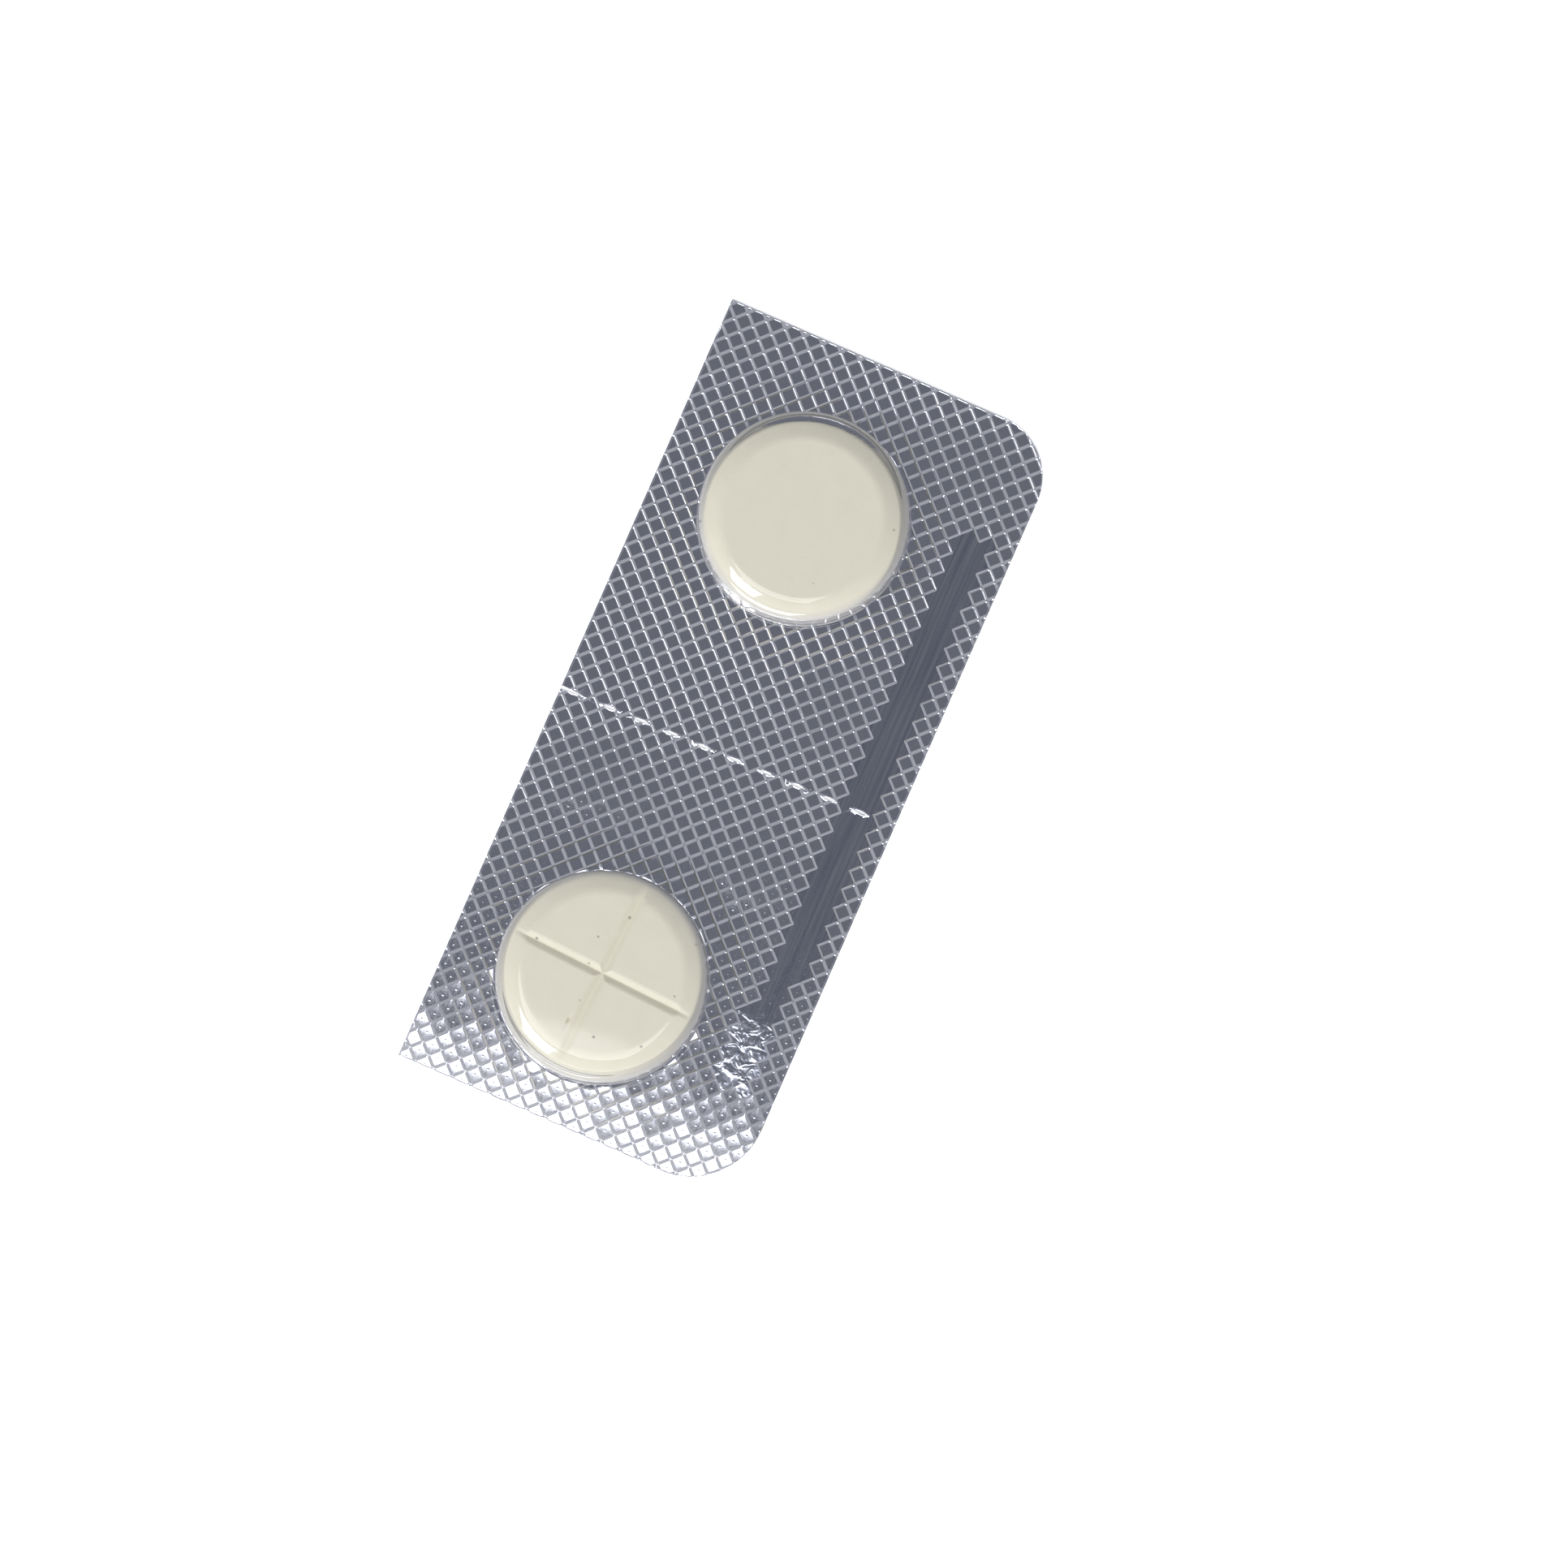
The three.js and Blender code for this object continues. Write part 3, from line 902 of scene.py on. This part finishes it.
def press_score(bm, centre):
    """Presses the cross score into the tablet's top face, with soft edges."""
    arms = [SCORE_TURN, SCORE_TURN + math.pi / 2]
    for angle in arms:
        direction = Vector((math.cos(angle), math.sin(angle), 0))
        for line in SCORE_LINES:
            for way in ((1,) if line == 0.0 else (-1, 1)):
                point = centre + direction * line * MM * way
                cut_faces(bm, upper_faces(bm), point, direction)
    # Where the grooves cross, the faces are cut along the diagonals too.
    for angle in (SCORE_TURN + math.pi / 4, SCORE_TURN - math.pi / 4):
        direction = Vector((math.cos(angle), math.sin(angle), 0))
        crossing = [
            face for face in upper_faces(bm)
            if (face.calc_center_median() - centre).xy.length < 2 * SCORE_HALF_WIDTH
        ]
        cut_faces(bm, crossing, centre, direction)
    for vert in bm.verts:
        from_centre = (vert.co - centre).xy
        away = min(
            abs(from_centre.dot(Vector((math.cos(angle), math.sin(angle))))) for angle in arms
        )
        share = max(0.0, 1 - away / SCORE_HALF_WIDTH)
        if share > 0:
            soft = share * share * (3 - 2 * share)
            pressed = TABLET_THICKNESS - SCORE_DEPTH * (0.5 * share + 0.5 * soft)
            vert.co.z = min(vert.co.z, pressed)


def face_around(bm, point):
    """The face of the tablet's flat top that a point lies in."""
    for face in bm.faces:
        on_top = abs(face.calc_center_median().z - point.z) < PLACE_TOLERANCE
        if on_top and bmesh.geometry.intersect_face_point(face, point):
            return face
    return None


def add_chip(bm, centre):
    """Knocks a small chip out of the scored face, beside the lower arm of the score."""
    middle = centre + CHIP_PLACE + Vector((0, 0, TABLET_THICKNESS))
    turn = Matrix.Rotation(CHIP_TURN, 3, "Z")
    for axis, reach in (((1, 0, 0), CHIP_LENGTH / 2), ((0, 1, 0), CHIP_WIDTH / 2)):
        for way in (-1, 1):
            direction = turn @ Vector(axis) * way
            cut_faces(bm, [face_around(bm, middle)], middle + direction * reach, direction)
    poked = bmesh.ops.poke(bm, faces=[face_around(bm, middle)])
    poked["verts"][0].co.z -= CHIP_DEPTH


class StripOperator(bpy.types.Operator):
    """What the strip's operators share."""

    bl_options = {"REGISTER", "UNDO"}


class BLISTER_OT_clear_web(StripOperator):
    """Add the clear formed film with its two pockets"""

    bl_idname = "blister.clear_web"
    bl_label = "Clear Web"

    def execute(self, context):
        sizes = context.scene.strip_sizes
        film_top = SEAL_HEIGHT + sizes.film_thickness
        mouth = inner_foot(sizes)
        ring = flat_ring(sizes)
        bm = bmesh.new()
        edges = add_loop(bm, strip_outline(sizes, film_top))
        for centre, length in slits()[1:]:
            edges += add_loop(bm, [(p.x, p.y, film_top) for p in lens(centre, length)])
        for pocket in POCKETS:
            edges += add_loop(bm, circle(pocket, ring, film_top, POCKET_STEPS))
        bmesh.ops.triangle_fill(bm, use_beauty=True, edges=edges, normal=(0, 0, 1))
        sheet = bmesh.ops.extrude_face_region(bm, geom=bm.faces[:])
        lowered = [item for item in sheet["geom"] if isinstance(item, bmesh.types.BMVert)]
        bmesh.ops.translate(bm, verts=lowered, vec=(0, 0, -sizes.film_thickness))

        # The film is open under each pocket, and its lower edge there is the pocket's mouth.
        rims = []
        for pocket in POCKETS:
            on_rim = {
                vert for vert in bm.verts
                if abs((vert.co - pocket).xy.length - ring) < PLACE_TOLERANCE
            }
            rims += [face for face in bm.faces if all(vert in on_rim for vert in face.verts)]
            for vert in on_rim:
                if vert.co.z < film_top - sizes.film_thickness / 2:
                    inward = (vert.co - pocket).xy.normalized() * mouth
                    vert.co.x = pocket.x + inward.x
                    vert.co.y = pocket.y + inward.y
        bmesh.ops.delete(bm, geom=rims, context="FACES")
        for pocket in POCKETS:
            spin_profile(bm, pocket_outside(sizes), pocket, POCKET_STEPS)
            spin_profile(bm, pocket_inside(sizes), pocket, POCKET_STEPS)
        bmesh.ops.remove_doubles(bm, verts=bm.verts[:], dist=FILM_MERGE)
        bmesh.ops.recalc_face_normals(bm, faces=bm.faces[:])

        # Only a pocket's wall is drawn out, from the tablet's edge to where the foot runs out.
        # This share also places the wall's lilac-grey layer, partly milkiness and partly painted
        # reflection.
        drawn = bm.verts.layers.float.new("drawn")
        for vert in bm.verts:
            away = from_pockets(vert.co.x, vert.co.y)
            rise = (away - TABLET_RADIUS) / sizes.pocket_clearance
            run_out = (outer_foot(sizes) - away) / FOOT_RADIUS
            vert[drawn] = min(max(min(rise, run_out), 0.0), 1.0)
        piece = add_piece(
            "clear_web_film", bm, film_material(context.scene.strip_colours),
            "clear_blister_web",
        )
        piece.data.shade_smooth()
        piece.data.set_sharp_from_angle(angle=FILM_SHARP_ANGLE)
        return {"FINISHED"}


class BLISTER_OT_lidding_foil(StripOperator):
    """Add the embossed foil that closes the pockets from below"""

    bl_idname = "blister.lidding_foil"
    bl_label = "Lidding Foil"

    def execute(self, context):
        sizes = context.scene.strip_sizes
        bm = knurled_sheet(sizes)
        trim_to_outline(bm, sizes, FOIL_INSET + FOIL_RIM, clear=False)
        trim_to_outline(bm, sizes, FOIL_INSET, clear=True)
        for vert in bm.verts:
            if vert.is_boundary:
                vert.co.z = -FOIL_RIM_DEPTH
        cut_slits(bm)
        bmesh.ops.remove_doubles(bm, verts=bm.verts[:], dist=MERGE)
        # Split along the level diagonal, the crossings of the ridges stay flat on top.
        bmesh.ops.triangulate(bm, faces=bm.faces[:], quad_method="SHORT_EDGE")
        bmesh.ops.translate(bm, verts=bm.verts[:], vec=(0, 0, SEAL_HEIGHT - FOIL_GAP))
        piece = add_piece(
            "embossed_foil", bm, foil_material(context.scene.strip_colours, sizes),
            "lidding_foil",
        )
        piece.data.shade_smooth()
        piece.data.set_sharp_from_angle(angle=FOIL_SHARP_ANGLE)
        thickness = piece.modifiers.new("Foil Thickness", "SOLIDIFY")
        thickness.thickness = sizes.foil_thickness
        thickness.offset = -1.0
        return {"FINISHED"}


class BLISTER_OT_tablets(StripOperator):
    """Add the two round tablets, the upper one with its score underneath"""

    bl_idname = "blister.tablets"
    bl_label = "Tablets"

    def execute(self, context):
        powder = tablet_material(context.scene.strip_colours)
        for name, node, place, score_up in (
            ("upper_round_tablet", "upper_tablet", UPPER_TABLET, False),
            ("lower_scored_tablet", "lower_tablet", LOWER_TABLET, True),
        ):
            bm = bmesh.new()
            middle = Vector((place.x, place.y, 0))
            spin_profile(bm, tablet_profile(), middle, TABLET_STEPS)
            bmesh.ops.remove_doubles(bm, verts=bm.verts[:], dist=MERGE)
            press_score(bm, middle)
            if score_up:
                add_chip(bm, middle)
            else:
                flip = Matrix.Rotation(math.pi, 3, "Y")
                centre = Vector((place.x, place.y, TABLET_THICKNESS / 2))
                bmesh.ops.rotate(bm, verts=bm.verts[:], cent=centre, matrix=flip)
            bmesh.ops.translate(bm, verts=bm.verts[:], vec=(0, 0, SEAL_HEIGHT))
            bmesh.ops.recalc_face_normals(bm, faces=bm.faces[:])
            piece = add_piece(name, bm, powder, node)
            piece.data.shade_smooth()
            piece.data.set_sharp_from_angle(angle=TABLET_SHARP_ANGLE)
            weighted = piece.modifiers.new("Flat Faces", "WEIGHTED_NORMAL")
            weighted.thresh = 0.0
            weighted.keep_sharp = True
        return {"FINISHED"}


def picture_axes():
    """The picture's right and up on the strip."""
    right = Vector((math.cos(PICTURE_TURN), math.sin(PICTURE_TURN), 0))
    return right, Vector((-right.y, right.x, 0))


def studio_point(right_mm, up_mm, height_mm):
    """A point from its place to the right of the picture's centre, above it and over the floor."""
    right, up = picture_axes()
    return PICTURE_CENTRE + (right * right_mm + up * up_mm + Vector((0, 0, height_mm))) * MM


def add_softbox(name, place, width_mm, length_mm, radiance, turn=None):
    """A rectangular lamp of even brightness. It faces the strip, or straight down with a turn."""
    lamp = bpy.data.lights.new(name, "AREA")
    lamp.shape = "RECTANGLE"
    lamp.size = width_mm * MM
    lamp.size_y = length_mm * MM
    lamp.energy = radiance * math.pi * lamp.size * lamp.size_y
    box = bpy.data.objects.new(name, lamp)
    box.location = place
    if turn is None:
        box.rotation_euler = (PICTURE_CENTRE - place).to_track_quat("-Z", "Y").to_euler()
    else:
        box.rotation_euler = (0, 0, turn)
    bpy.context.scene.collection.objects.link(box)


def light_room():
    """World light by height: pale walls up to a darker, bluish ceiling."""
    world = bpy.data.worlds.new("Studio Room")
    world.use_nodes = True
    tree = world.node_tree
    tree.nodes.clear()
    direction = add_node(tree, "ShaderNodeTexCoord").outputs["Generated"]
    height = add_node(tree, "ShaderNodeSeparateXYZ", links={0: direction}).outputs["Z"]
    walls = add_node(tree, "ShaderNodeValToRGB", links={"Fac": height})
    ramp = walls.color_ramp
    while len(ramp.elements) < len(ROOM_LIGHT):
        ramp.elements.new(0.5)
    for element, (degrees, colour) in zip(ramp.elements, ROOM_LIGHT):
        element.position = math.sin(math.radians(degrees))
        element.color = opaque(colour)
    sky = add_node(tree, "ShaderNodeBackground", links={"Color": walls.outputs["Color"]})
    add_node(tree, "ShaderNodeOutputWorld", links={"Surface": sky.outputs[0]})
    bpy.context.scene.world = world


class BLISTER_OT_stage(StripOperator):
    """Add the floor, the lamps, the room and the camera"""

    bl_idname = "blister.stage"
    bl_label = "Stage"

    def execute(self, context):
        light_room()
        bm = bmesh.new()
        bmesh.ops.create_grid(bm, x_segments=1, y_segments=1, size=FLOOR_HALF_SIZE)
        bmesh.ops.translate(bm, verts=bm.verts[:], vec=(0, 0, -FLOOR_DROP))
        mesh = bpy.data.meshes.new("studio_floor")
        bm.to_mesh(mesh)
        bm.free()
        mesh.materials.append(floor_material(context.scene.strip_colours))
        floor = bpy.data.objects.new("studio_floor", mesh)
        context.scene.collection.objects.link(floor)

        # A small panel almost overhead is what the foil mirrors at the strip's lower end.
        add_softbox(
            "Overhead Panel", studio_point(-68, -74, 1000), width_mm=230, length_mm=120,
            radiance=2.8, turn=PICTURE_TURN - math.radians(20.2),
        )
        # A brighter lamp puts the spot on each pocket's crown.
        add_softbox(
            "Spot Lamp", studio_point(-275, -205, 1000), width_mm=230, length_mm=160,
            radiance=9.0, turn=PICTURE_TURN + math.radians(50),
        )
        # The main light comes from the lower left of the picture and shapes the bevels.
        add_softbox(
            "Main Softbox", studio_point(-540, -1060, 1000), width_mm=1000, length_mm=1000,
            radiance=7.2,
        )
        # A low lamp makes the ridges that run down the picture sparkle at the strip's upper end.
        add_softbox(
            "Sparkle Lamp", studio_point(-984, -301, 618), width_mm=60, length_mm=60, radiance=3.0,
        )

        right, up = picture_axes()
        back = up * -math.sin(CAMERA_TILT) + Vector((0, 0, math.cos(CAMERA_TILT)))
        camera = bpy.data.cameras.new("Picture Camera")
        camera.sensor_width = SENSOR_WIDTH
        camera.lens = SENSOR_WIDTH * CAMERA_DISTANCE / PICTURE_WIDTH
        camera.clip_start = CLIP_START
        viewer = bpy.data.objects.new("Picture Camera", camera)
        turned = Matrix((right, back.cross(right), back)).transposed()
        viewer.matrix_world = (
            Matrix.Translation(PICTURE_CENTRE + back * CAMERA_DISTANCE) @ turned.to_4x4()
        )
        context.scene.collection.objects.link(viewer)
        context.scene.camera = viewer
        context.scene.view_settings.view_transform = "Standard"
        return {"FINISHED"}


class BLISTER_PT_strip(bpy.types.Panel):
    """The strip's pieces, sizes and colours"""

    bl_label = "Blister Strip"
    bl_space_type = "VIEW_3D"
    bl_region_type = "UI"
    bl_category = "Blister Strip"

    def draw(self, context):
        for operator in OPERATORS:
            self.layout.operator(operator.bl_idname)
        for group in (context.scene.strip_sizes, context.scene.strip_colours):
            box = self.layout.box()
            for name in group.__annotations__:
                box.prop(group, name)


OPERATORS = (
    BLISTER_OT_clear_web,
    BLISTER_OT_lidding_foil,
    BLISTER_OT_tablets,
    BLISTER_OT_stage,
)
CLASSES = (StripSizes, StripColours, *OPERATORS, BLISTER_PT_strip)


def register():
    for each in CLASSES:
        bpy.utils.register_class(each)
    bpy.types.Scene.strip_sizes = bpy.props.PointerProperty(type=StripSizes)
    bpy.types.Scene.strip_colours = bpy.props.PointerProperty(type=StripColours)


def unregister():
    del bpy.types.Scene.strip_colours
    del bpy.types.Scene.strip_sizes
    for each in reversed(CLASSES):
        bpy.utils.unregister_class(each)


def main():
    register()
    bpy.ops.blister.clear_web()
    bpy.ops.blister.lidding_foil()
    bpy.ops.blister.tablets()
    bpy.ops.blister.stage()


if __name__ == "__main__":
    main()
